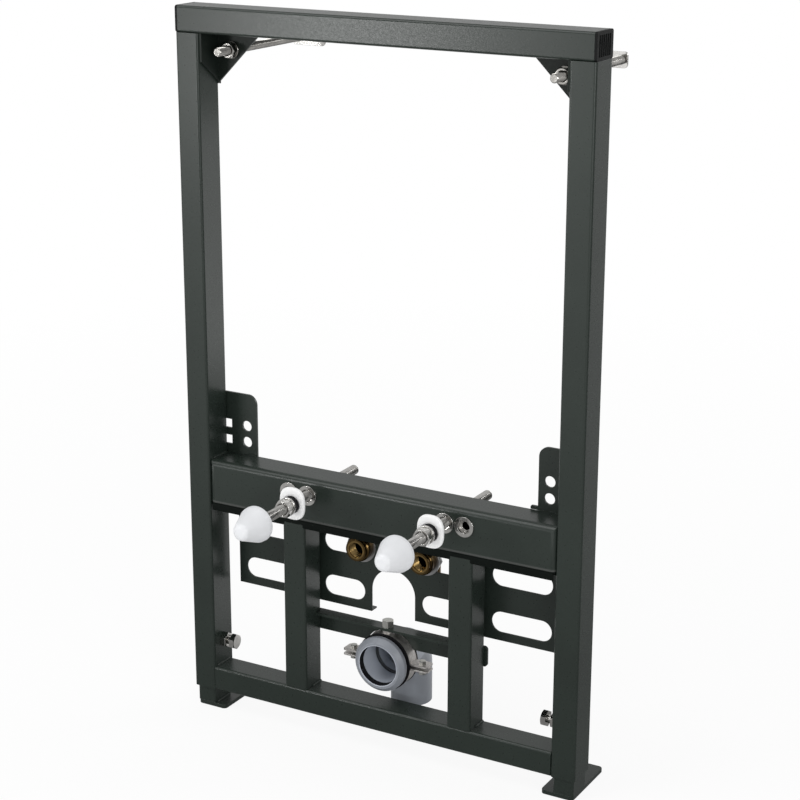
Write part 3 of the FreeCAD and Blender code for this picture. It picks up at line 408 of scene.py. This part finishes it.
class Form:
    """Mesh of one piece, gathered from turned, six-sided and threaded parts."""

    def __init__(self):
        self.mesh = bmesh.new()

    def ring(self, axis, count, spot):
        """Vertices round an axis; spot is (radius, height) or gives them by the angle."""
        if not callable(spot) and spot[0] == 0:
            return [self.mesh.verts.new(axis.spot(0, 0, spot[1]))]
        made = []
        for step in range(count):
            angle = 2 * math.pi * step / count
            radius, height = spot(angle) if callable(spot) else spot
            made.append(self.mesh.verts.new(axis.spot(radius, angle, height)))
        return made

    def revolve(self, axis, profile, count=64, closed=False):
        """Skin through the spots of a profile; a closed one ends where it started."""
        rings = [self.ring(axis, count, spot) for spot in profile]
        if closed:
            rings.append(rings[0])
        for low, high in zip(rings, rings[1:]):
            for step in range(max(len(low), len(high))):
                corners = [low[step % len(low)], low[(step + 1) % len(low)],
                           high[(step + 1) % len(high)], high[step % len(high)]]
                self.mesh.faces.new(dict.fromkeys(corners))

    def hexagon(self, axis, flats, low, high, bore=0.0, chamfers=(True, True)):
        """Nut or bolt head whose corners are turned off on a cone."""
        crown = CROWN_SHARE * flats
        slope = math.tan(HEX_CONE)

        def side(height, way):
            def spot(angle):
                reach = flats / 2 / math.cos(angle % (math.pi / 3) - math.pi / 6)
                return reach, height + way * (reach - crown) * slope
            return spot

        lead = LEAD_SHARE * flats if bore else 0.0
        inner = bore + lead
        profile = [(inner, low)]
        profile += [(crown, low), side(low, 1)] if chamfers[0] else [side(low, 0)]
        profile += [side(high, -1), (crown, high)] if chamfers[1] else [side(high, 0)]
        profile.append((inner, high))
        if bore:
            profile += [(bore, high - lead), (bore, low + lead)]
        self.revolve(axis, profile, 72, closed=bool(bore))

    def washer(self, axis, outer, inner, low, high):
        edge = 0.15 * (high - low)
        self.revolve(axis, [(inner, low), (outer - edge, low), (outer, low + edge),
                            (outer, high - edge), (outer - edge, high), (inner, high)], closed=True)

    def helix(self, axis, low, high, crest, root, pitch, tapers):
        """The skin of a thread between two levels, as a mesh of its own, open at both ends."""
        made = bmesh.new()
        start = low - SPARE_TURNS * pitch
        last = math.ceil((high - start) / pitch + SPARE_TURNS) * THREAD_STEPS
        shape = ((0.0, root), (ROOT_END, root), (CREST_START, crest), (CREST_END, crest))
        depth = abs(crest - root)
        rows = []
        for step in range(last + 1):
            angle = 2 * math.pi * step / THREAD_STEPS
            row = []
            for share, radius in shape:
                height = start + (step / THREAD_STEPS + share) * pitch
                near = height - low if tapers[0] else depth
                far = high - height if tapers[1] else depth
                into = min(max(min(near, far), 0.0), depth) / depth
                row.append(made.verts.new(axis.spot(root + (radius - root) * into, angle, height)))
            rows.append(row)
        for step in range(last):
            here, there = rows[step], rows[step + 1]
            for place in range(3):
                made.faces.new((here[place], there[place], there[place + 1], here[place + 1]))
            if step + 1 + THREAD_STEPS <= last:
                after = rows[step + 1 + THREAD_STEPS][0], rows[step + THREAD_STEPS][0]
                made.faces.new((here[3], there[3], *after))
        ends = []
        for level, way in ((low, -1), (high, 1)):
            everything = made.verts[:] + made.edges[:] + made.faces[:]
            cut = bmesh.ops.bisect_plane(made, geom=everything, dist=1e-8,
                                         plane_co=axis.spot(0, 0, level),
                                         plane_no=axis.along * way, clear_outer=True)
            ends.append([item for item in cut["geom_cut"] if isinstance(item, bmesh.types.BMEdge)])
        return made, ends

    def absorb(self, other):
        """Takes the parts of another mesh in."""
        carried = bpy.data.meshes.new("carried")
        other.to_mesh(carried)
        other.free()
        self.mesh.from_mesh(carried)
        bpy.data.meshes.remove(carried)

    def screw(self, axis, low, high, radius, pitch, tapers=(True, True)):
        """Threaded rod, cut square; a tapered end is turned down to the thread's root."""
        root = radius - SCREW_DEPTH * pitch
        made, ends = self.helix(axis, low, high, radius, root, pitch, tapers)
        for edges in ends:
            bmesh.ops.edgeloop_fill(made, edges=[edge for edge in edges if edge.is_valid])
        self.absorb(made)

    def nut_thread(self, axis, low, high, radius, pitch, depth):
        """Thread inside a bore, as a thin sleeve with the thread on its inner side."""
        made, ends = self.helix(axis, low, high, radius - depth, radius, pitch, (False, False))
        rims = []
        for level, edges in zip((low, high), ends):
            turns = [2 * math.pi * step / RIM_STEPS for step in range(RIM_STEPS)]
            rim = [made.verts.new(axis.spot(radius + SLEEVE_WALL, turn, level)) for turn in turns]
            rim_edges = [made.edges.new(pair) for pair in zip(rim, rim[1:] + rim[:1])]
            whole = [edge for edge in edges if edge.is_valid]
            bmesh.ops.bridge_loops(made, edges=whole + rim_edges)
            rims.append(rim)
        front, back = rims
        for step in range(RIM_STEPS):
            after = (step + 1) % RIM_STEPS
            made.faces.new((front[step], front[after], back[after], back[step]))
        self.absorb(made)

    def bead(self, start, end, radius):
        """Short run of weld: a ridge with the ripples that the torch leaves."""
        start, end = Vector(start), Vector(end)
        along = (end - start).normalized()
        axis = Axis(start, along, along.orthogonal().normalized())
        length = (end - start).length
        profile = [(0, 0)]
        for step in range(1, BEAD_STEPS):
            place = step / BEAD_STEPS
            ends = min(1.0, 3.5 * math.sin(math.pi * place)) ** 0.5
            ripple = 0.82 + 0.18 * abs(math.cos(math.pi * place * length / BEAD_RIPPLE))
            profile.append((radius * ends * ripple, place * length))
        profile.append((0, length))
        self.revolve(axis, profile, BEAD_SIDES)

    def piece(self, name, body, finish, slot, stands_for=(), edge=0.0, sharp=28):
        """Turns the form into a piece of the scene."""
        bmesh.ops.recalc_face_normals(self.mesh, faces=self.mesh.faces[:])
        mesh = bpy.data.meshes.new(name)
        self.mesh.to_mesh(mesh)
        self.mesh.free()
        for face in mesh.polygons:
            face.use_smooth = True
        mesh.set_sharp_from_angle(angle=math.radians(sharp))
        mesh.materials.append(finish)
        made = bpy.data.objects.new(name, mesh)
        scene.collection.objects.link(made)
        if edge:
            bevel = made.modifiers.new("Bevel", "BEVEL")
            bevel.width = edge
            bevel.segments = 2
            bevel.limit_method = "ANGLE"
            bevel.angle_limit = math.radians(26)
            bevel.harden_normals = True
        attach(made, body)
        if stands_for:
            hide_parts(*stands_for)


def middle(node):
    low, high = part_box(node)
    return (low + high) / 2


# Thread pitches by the size of the thread, and that of a half-inch pipe.
M6, M8, M10, M12 = 1 * MM, 1.25 * MM, 1.5 * MM, 1.75 * MM
HALF_INCH = 1.814 * MM
NUT_EDGE, BOLT_EDGE = 0.00015, 0.0001


def threaded_rod(node, name, pitch, finish):
    """Stud or rod along Y, in the place of its plain cylinder."""
    low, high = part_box(node)
    centre = middle(node)
    form = Form()
    form.screw(axis_to_back(centre.x, centre.z), low.y, high.y, (high.x - low.x) / 2, pitch)
    form.piece(name, "frame", finish, "zinc", (node,))


ROD_FLATS, ROD_NUT_HEIGHT, ROD_NUT_BORE = 17 * MM, 8 * MM, 5.15 * MM
ROD_WASHER, ROD_WASHER_BORE, ROD_WASHER_HEIGHT = 10 * MM, 5.3 * MM, 2 * MM


def rod_nut_set():
    """A nut on each side of each gusset, the front one with a washer."""
    low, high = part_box("rod_nuts")
    washer = low.y + ROD_NUT_HEIGHT
    form = Form()
    for side, way in SIDES:
        centre = middle(side + "_wall_rod")
        axis = axis_to_back(centre.x, centre.z)
        form.hexagon(axis, ROD_FLATS, low.y, washer, ROD_NUT_BORE)
        form.washer(axis, ROD_WASHER, ROD_WASHER_BORE, washer, washer + ROD_WASHER_HEIGHT)
        form.hexagon(axis, ROD_FLATS, high.y - ROD_NUT_HEIGHT, high.y, ROD_NUT_BORE)
    form.piece("rod_nut_set", "frame", ROD_ZINC, "zinc", ("rod_nuts",), NUT_EDGE)


STUD_FLATS, STUD_NUT_HEIGHT, STUD_NUT_BORE = 19 * MM, 9.5 * MM, 6.15 * MM
STUD_WASHER, STUD_WASHER_BORE, STUD_WASHER_HEIGHT = 10.8 * MM, 6.3 * MM, 1.5 * MM
STUD_NUT_SHIFT = 9 * MM
STUD_WASHER_GAP = 0.3 * MM
STUD_SPACER = 10.4 * MM


def stud_nut_set():
    """Nuts and pairs of washers on the studs, with dark sleeves behind them."""
    low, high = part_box("stud_nuts")
    form = Form()
    spacers = Form()
    for side, way in SIDES:
        centre = middle(side + "_stud")
        axis = axis_to_back(centre.x, centre.z)
        front = low.y - STUD_NUT_SHIFT
        level = front + STUD_NUT_HEIGHT
        form.hexagon(axis, STUD_FLATS, front, level, STUD_NUT_BORE)
        for gap in (0.0, STUD_WASHER_GAP):
            start = level + gap
            level = start + STUD_WASHER_HEIGHT
            form.washer(axis, STUD_WASHER, STUD_WASHER_BORE, start, level)
        # Black rubber sleeves; their black partly stands in for the shade behind the washers, as
        # painted shade.
        spacers.washer(axis, STUD_SPACER, STUD_WASHER_BORE, level, high.y)
    form.piece("stud_nut_set", "frame", ZINC, "zinc", ("stud_nuts",), NUT_EDGE)
    spacers.piece("stud_spacers", "frame", RUBBER, "black_rubber", edge=0.0003)


BUSH_HALF_WIDTH, BUSH_HALF_HEIGHT = 16.4 * MM, 19.2 * MM
BUSH_SQUARENESS = 2.7
BUSH_RAISED = 0.6 * MM
BUSH_BORE, BUSH_HUB, BUSH_FLANGE = 6.9 * MM, 9 * MM, 3.5 * MM
BUSH_DISH, BUSH_DISH_TOP, BUSH_DIP = 10.6 * MM, 11.2 * MM, 1.2 * MM


def bush_pair():
    """White bushes with flat cheeks, a rounded front edge and a round hub."""
    low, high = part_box("stud_bushes")
    form = Form()
    back = low.y + BUSH_FLANGE
    dip = low.y + BUSH_DIP

    def flange(share, height):
        def spot(angle):
            wide = abs(math.cos(angle)) / BUSH_HALF_WIDTH
            tall = abs(math.sin(angle)) / BUSH_HALF_HEIGHT
            reach = (wide ** BUSH_SQUARENESS + tall ** BUSH_SQUARENESS) ** (-1 / BUSH_SQUARENESS)
            return share * reach, height
        return spot

    for side, way in SIDES:
        centre = middle(side + "_stud")
        axis = axis_to_back(centre.x, centre.z + BUSH_RAISED)
        profile = [(BUSH_BORE, dip), (BUSH_DISH, dip), (BUSH_DISH_TOP, low.y + 0.3 * MM),
                   flange(0.9, low.y), flange(0.97, low.y + 0.4 * MM), flange(1.0, dip),
                   flange(1.0, back), (BUSH_HUB, back), (BUSH_HUB, high.y), (BUSH_BORE, high.y)]
        form.revolve(axis, profile, 96, closed=True)
    form.piece("stud_bush_pair", "frame", BUSH_WHITE, "white_plastic", ("stud_bushes",), sharp=40)


CLAMP_FLATS, CLAMP_NUT_HEIGHT, CLAMP_NUT_BORE = 17 * MM, 8 * MM, 5.15 * MM
CLAMP_HEAD_HEIGHT, CLAMP_THREAD = 6.5 * MM, 5 * MM


def leg_clamps():
    """Weld nuts on the posts, and the bolts that press on the legs."""
    nuts = Form()
    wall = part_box("clamp_weld_nuts")[1].x
    for side, way in SIDES:
        node = side + "_clamp_bolt"
        near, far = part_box(node)
        centre = middle(node)
        axis = Axis((0, centre.y, centre.z), (way, 0, 0), (0, 0, 1))
        head, tip = sorted((abs(near.x), abs(far.x)))
        neck = head + CLAMP_HEAD_HEIGHT
        nut = wall - CLAMP_NUT_HEIGHT
        nuts.hexagon(axis, CLAMP_FLATS, nut, wall, CLAMP_NUT_BORE, (True, False))
        bolt = Form()
        bolt.hexagon(axis, CLAMP_FLATS, head, neck, chamfers=(True, False))
        bolt.screw(axis, neck, tip, CLAMP_THREAD, M10, (False, True))
        bolt.piece(node + "_threaded", "frame", ZINC, "zinc", (node,), NUT_EDGE)
    nuts.piece("weld_nut_pair", "frame", ZINC, "zinc", ("clamp_weld_nuts",), NUT_EDGE)


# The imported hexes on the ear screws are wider, and reach this far from the screw's axis.
EAR_HEX_REACH = 5.7735 * MM
EAR_FLATS, EAR_NUT_BORE, EAR_THREAD = 8 * MM, 3.1 * MM, 3 * MM
EAR_NUT_HEIGHT, EAR_HEAD_HEIGHT = 5 * MM, 4 * MM
HANGER_FLATS, HANGER_HEAD_HEIGHT, HANGER_THREAD = 13 * MM, 8 * MM, 4 * MM


def clamp_fasteners():
    """Screws through the ears of the pipe clamp, and the bolt that it hangs on."""
    low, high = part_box("clamp_screws")
    centre = middle("clamp_screws")
    neck = high.z - EAR_HEAD_HEIGHT
    form = Form()
    for x in (low.x + EAR_HEX_REACH, high.x - EAR_HEX_REACH):
        axis = Axis((x, centre.y, 0), *UPRIGHT)
        form.hexagon(axis, EAR_FLATS, low.z, low.z + EAR_NUT_HEIGHT, EAR_NUT_BORE)
        form.screw(axis, low.z, neck, EAR_THREAD, M6, (True, False))
        form.hexagon(axis, EAR_FLATS, neck, high.z, chamfers=(False, True))
    form.piece("ear_screw_set", "frame", DULL_ZINC, "zinc", ("clamp_screws",), BOLT_EDGE)
    low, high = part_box("clamp_hanger_bolt")
    centre = middle("clamp_hanger_bolt")
    neck = high.z - HANGER_HEAD_HEIGHT
    axis = Axis((centre.x, centre.y, 0), *UPRIGHT)
    form = Form()
    form.hexagon(axis, HANGER_FLATS, neck, high.z, chamfers=(False, True))
    form.screw(axis, low.z, neck, HANGER_THREAD, M8, (True, False))
    form.piece("hanger_bolt_threaded", "frame", DULL_ZINC, "zinc", ("clamp_hanger_bolt",),
               BOLT_EDGE)


ELBOW_RING, ELBOW_RING_HEIGHT = 19 * MM, 1.5 * MM
LOCK_FLATS, LOCK_NUT_HEIGHT, LOCK_NUT_BORE = 35 * MM, 5 * MM, 12.15 * MM
MOUTH_THREAD, MOUTH_THREAD_DEPTH = 9.3 * MM, 0.75 * MM
MOUTH_THREAD_START, MOUTH_THREAD_END = 1.2 * MM, 14.5 * MM


def elbow_fittings():
    """Lock nuts and rings of the water elbows, and the threads in their mouths."""
    low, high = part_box("elbow_lock_nuts")
    z = middle("elbow_lock_nuts").z
    nuts = Form()
    threads = Form()
    for side, way in SIDES:
        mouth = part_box(side + "_water_elbow")[0].y
        axis = axis_to_back(middle(side + "_water_elbow").x, z)
        nuts.washer(axis, ELBOW_RING, LOCK_NUT_BORE, low.y, low.y + ELBOW_RING_HEIGHT)
        nuts.hexagon(axis, LOCK_FLATS, high.y - LOCK_NUT_HEIGHT, high.y, LOCK_NUT_BORE)
        threads.nut_thread(axis, mouth + MOUTH_THREAD_START, mouth + MOUTH_THREAD_END,
                           MOUTH_THREAD, HALF_INCH, MOUTH_THREAD_DEPTH)
    nuts.piece("elbow_nut_set", "frame", LOCK_NUT, "grey_metal", ("elbow_lock_nuts",), 0.0002)
    threads.piece("elbow_mouth_threads", "frame", BRASS, "brass")


INSERT_FLANGE = 12 * MM
INSERT_THREAD, INSERT_THREAD_DEPTH = 5.3 * MM, 0.7 * MM
INSERT_THREAD_START, INSERT_THREAD_END = 6.2 * MM, 0.4 * MM


def insert_threads():
    """Threads inside the two spare inserts."""
    low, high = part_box("stud_inserts")
    z = middle("stud_inserts").z
    form = Form()
    for x in (low.x + INSERT_FLANGE, high.x - INSERT_FLANGE):
        form.nut_thread(axis_to_back(x, z), low.y + INSERT_THREAD_START, high.y - INSERT_THREAD_END,
                        INSERT_THREAD, M12, INSERT_THREAD_DEPTH)
    form.piece("insert_threads", "frame", ZINC, "zinc")


# The seal's length, and its inner side in millimetres: radius, and depth from its front.
SEAL_LENGTH = 7.4 * MM
SEAL_LIPS = ((24.9, 7.4), (24.9, 6.6), (24.0, 7.2), (24.05, 6.6), (24.9, 5.4), (24.9, 3.6),
             (24.0, 4.6), (24.05, 3.9), (24.9, 2.4), (24.9, 0.6), (25.4, 0))


def seal_ring():
    """Rubber ring in the socket's mouth, with two lips that the waste pipe pushes back."""
    low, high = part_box("drain_seal")
    centre = middle("drain_seal")
    outer = (high.x - low.x) / 2
    profile = [(outer, 0), (outer, SEAL_LENGTH)]
    profile += [(radius * MM, depth * MM) for radius, depth in SEAL_LIPS]
    form = Form()
    form.revolve(axis_to_back(centre.x, centre.z, low.y), profile, 96, closed=True)
    form.piece("seal_lips", "frame", RUBBER, "black_rubber", ("drain_seal",), sharp=50)


# Section of the rail's rolled edge in millimetres: behind the rail's front, above its foot.
LIP_SECTION = ((0.05, 4.5), (0.05, -3.2), (0.5, -4.4), (1.4, -4.8), (2.1, -4.4), (2.1, 4.5))
LIP_INSET = 3 * MM


def rail_lip():
    """Rolled lower edge of the mid rail, a dark band under its front, its paint darkened there as
    painted shade.
    """
    low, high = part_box("mid_rail")
    form = Form()
    reach = high.x - LIP_INSET
    section = [(low.y + back * MM, low.z + rise * MM) for back, rise in LIP_SECTION]
    left, right = [[form.mesh.verts.new((x, y, z)) for y, z in section] for x in (-reach, reach)]
    for step in range(len(section)):
        after = (step + 1) % len(section)
        form.mesh.faces.new((left[step], left[after], right[after], right[step]))
    form.mesh.faces.new(left)
    form.mesh.faces.new(right)
    form.piece("mid_rail_lip", "frame", RAIL_SHADED_PAINT, "anthracite_paint")


RAIL_WELD, POST_WELD, FOOT_WELD = 1.9 * MM, 2 * MM, 2 * MM
BRACKET_WELD, PLATE_WELD = 1.5 * MM, 1.3 * MM
# Where the welds at the side brackets start above their feet, and how long they are.
BRACKET_WELD_LEVELS, BRACKET_WELD_LENGTH = (16 * MM, 62 * MM), 24 * MM
# From the middle of the frame to the two ends of a weld on the slotted plate.
PLATE_WELD_NEAR, PLATE_WELD_FAR = 0.190, 0.212


def run_to_back(x, z, start, end):
    """The two ends of a weld that runs from front to back."""
    return (x, start, z), (x, end, z)


def frame_welds():
    """The short welds that show at the corners of the frame."""
    post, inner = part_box("right_post"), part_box("right_inner_post")
    rail, low_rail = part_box("mid_rail"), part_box("bottom_rail")
    bracket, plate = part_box("right_side_bracket"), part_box("slotted_plate")
    front, back = rail[0].y, rail[1].y
    form = Form()
    for side, way in SIDES:
        wall = way * post[0].x
        form.bead(*run_to_back(wall, rail[1].z, front + 9 * MM, back - 2 * MM), RAIL_WELD)
        ends = run_to_back(wall, low_rail[1].z, front + 5 * MM, low_rail[1].y - 3 * MM)
        form.bead(*ends, RAIL_WELD)
        for x in (inner[0].x, inner[1].x):
            ends = run_to_back(way * x, inner[0].z, inner[0].y + 14 * MM, inner[1].y - 1 * MM)
            form.bead(*ends, POST_WELD)
        edge, face = way * bracket[1].x, bracket[0].y
        for level in BRACKET_WELD_LEVELS:
            z = bracket[0].z + level
            form.bead((edge, face, z), (edge, face, z + BRACKET_WELD_LENGTH), BRACKET_WELD)
        near, far = [(way * x, bracket[1].y, plate[1].z) for x in (PLATE_WELD_NEAR, PLATE_WELD_FAR)]
        form.bead(near, far, PLATE_WELD)
    form.piece("frame_welds", "frame", PAINT, "anthracite_paint")


def foot_welds(side, way):
    """The welds behind and inside a leg, on its foot plate."""
    leg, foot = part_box(side + "_leg"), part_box(side + "_foot")
    level = foot[1].z
    inside = leg[1].x if way < 0 else leg[0].x
    form = Form()
    form.bead((leg[0].x + 4 * MM, leg[1].y, level), (leg[1].x - 4 * MM, leg[1].y, level), FOOT_WELD)
    form.bead(*run_to_back(inside, level, leg[0].y + 5 * MM, leg[1].y - 5 * MM), FOOT_WELD)
    form.piece(side + "_foot_welds", side + "_leg_unit", PAINT, "anthracite_paint")


for side, way in SIDES:
    threaded_rod(side + "_stud", side + "_stud_threaded", M12, ZINC)
    threaded_rod(side + "_wall_rod", side + "_rod_threaded", M10, ROD_ZINC)
rod_nut_set()
stud_nut_set()
bush_pair()
leg_clamps()
clamp_fasteners()
elbow_fittings()
insert_threads()
seal_ring()
rail_lip()
frame_welds()
for side, way in SIDES:
    foot_welds(side, way)


FLOOR_WHITE = (0.86, 0.86, 0.86)
FLOOR_RADIUS = 40.0
FLOOR_LEVEL = -0.0004
# How far the light patch behind the object moves to the right for each metre further back.
PATCH_SLANT = 0.42
# Strength of the world as light, and as it shows in reflections.
SKY, MIRRORED_SKY = 0.62, 0.68


def floor_shade():
    """Pale floor: white to the camera past a soft shadow, dimmer near by in reflections."""
    shade = Shade("pale_floor")
    shade.set(Base_Color=FLOOR_WHITE, Roughness=0.9, Specular_IOR_Level=0.0)
    rays = shade.nodes.new("ShaderNodeLightPath").outputs
    across, back = shade.along("X"), shade.along("Y")
    reach = shade.nodes.new("ShaderNodeVectorMath")
    reach.operation = "LENGTH"
    shade.link(shade.where, reach.inputs[0])
    fade = shade.ranged(reach.outputs["Value"], start=0.3, end=2.2, low=0.9, high=1.0)
    ahead = shade.maths(shade.ranged(back, start=-2.0, end=-0.1, low=0.92, high=0.27),
                        shade.ranged(across, start=-1.1, end=-0.2, low=1.3, high=1.0), "MULTIPLY")
    slant = shade.maths(across, shade.maths(back, PATCH_SLANT, "MULTIPLY"), "SUBTRACT")
    behind = shade.maths(shade.ranged(slant, start=0.06, end=0.24, low=1.0, high=0.0),
                         shade.ranged(back, start=0.05, end=0.25, low=0.0, high=1.0), "MULTIPLY")
    mirrored = shade.maths(ahead, behind, "MAXIMUM")
    glow = shade.nodes.new("ShaderNodeEmission")
    shade.link(shade.blend(rays["Is Glossy Ray"], 1.0, mirrored), glow.inputs["Strength"])
    mix = shade.nodes.new("ShaderNodeMixShader")
    seen = shade.maths(rays["Is Camera Ray"], fade, "MULTIPLY")
    shade.link(shade.maths(seen, rays["Is Glossy Ray"], "MAXIMUM"), mix.inputs["Fac"])
    shade.link(shade.surface.outputs["BSDF"], mix.inputs[1])
    shade.link(glow.outputs["Emission"], mix.inputs[2])
    shade.link(mix.outputs["Shader"], shade.nodes["Material Output"].inputs["Surface"])
    return shade.material


def make_floor():
    mesh = bpy.data.meshes.new("floor")
    sheet = bmesh.new()
    bmesh.ops.create_circle(sheet, cap_ends=True, segments=96, radius=FLOOR_RADIUS)
    sheet.to_mesh(mesh)
    sheet.free()
    floor = bpy.data.objects.new("floor", mesh)
    floor.location.z = FLOOR_LEVEL
    scene.collection.objects.link(floor)
    mesh.materials.append(floor_shade())


def make_world():
    """White to the camera, less in reflections, a plain soft light to the rest."""
    world = bpy.data.worlds.new("studio")
    world.use_nodes = True
    scene.world = world
    nodes = world.node_tree.nodes
    links = world.node_tree.links
    rays = nodes.new("ShaderNodeLightPath")
    before = None
    levels = (("Is Glossy Ray", MIRRORED_SKY), ("Is Transmission Ray", 1.0), ("Is Camera Ray", 1.0))
    for ray, level in levels:
        strength = nodes.new("ShaderNodeMapRange")
        strength.inputs["To Min"].default_value = SKY
        strength.inputs["To Max"].default_value = level
        links.new(rays.outputs[ray], strength.inputs["Value"])
        if before is not None:
            links.new(before, strength.inputs["To Min"])
        before = strength.outputs["Result"]
    links.new(before, nodes["Background"].inputs["Strength"])
    nodes["Background"].inputs["Color"].default_value = (1, 1, 1, 1)


# Name, place, what it points at, width and height, watts.
LAMPS = (
    ("front_left", (-1.17, -1.95, 0.6), (0, 0, 0.55), (0.38, 0.2), 8.0),
    ("front_right", (2.0, -1.75, 0.95), (0, 0, 0.4), (0.9, 0.9), 20.0),
    ("above", (-0.9, -1.2, 2.6), (0, 0, 0.45), (1.6, 1.6), 24.0),
    ("back_right", (1.0, 1.85, 1.25), (0, 0, 0.35), (0.34, 0.5), 3.2),
    ("behind", (-0.01, 0.3, 0.5), (-0.6, 0.1, 0.55), (0.22, 0.34), 0.25),
)


def make_lamp(name, place, aim, size, watts):
    light = bpy.data.lights.new(name, "AREA")
    light.shape = "RECTANGLE"
    light.size, light.size_y = size
    light.energy = watts
    made = bpy.data.objects.new(name, light)
    made.location = place
    made.rotation_euler = (Vector(aim) - Vector(place)).to_track_quat("-Z", "Y").to_euler()
    made.visible_camera = False
    scene.collection.objects.link(made)


# The photograph's view: angles in degrees, focal length and sensor width in millimetres.
AZIMUTH, ELEVATION, ROLL = 29.49, 17.15, 0.12
CAMERA_PLACE = (1.0606, -1.8373, 1.0825)
LENS, SENSOR = 88.68, 36.0


def make_camera():
    azimuth, elevation, roll = (math.radians(angle) for angle in (AZIMUTH, ELEVATION, ROLL))
    back = Vector((math.sin(azimuth) * math.cos(elevation),
                   -math.cos(azimuth) * math.cos(elevation), math.sin(elevation)))
    data = bpy.data.cameras.new("camera")
    data.sensor_width = SENSOR
    data.lens = LENS
    camera = bpy.data.objects.new("camera", data)
    turn = (-back).to_track_quat("-Z", "Y").to_matrix().to_4x4() @ Matrix.Rotation(roll, 4, "Z")
    camera.matrix_world = Matrix.Translation(CAMERA_PLACE) @ turn
    scene.collection.objects.link(camera)
    scene.camera = camera


make_floor()
make_world()
for settings in LAMPS:
    make_lamp(*settings)
make_camera()
scene.view_settings.view_transform = "Standard"
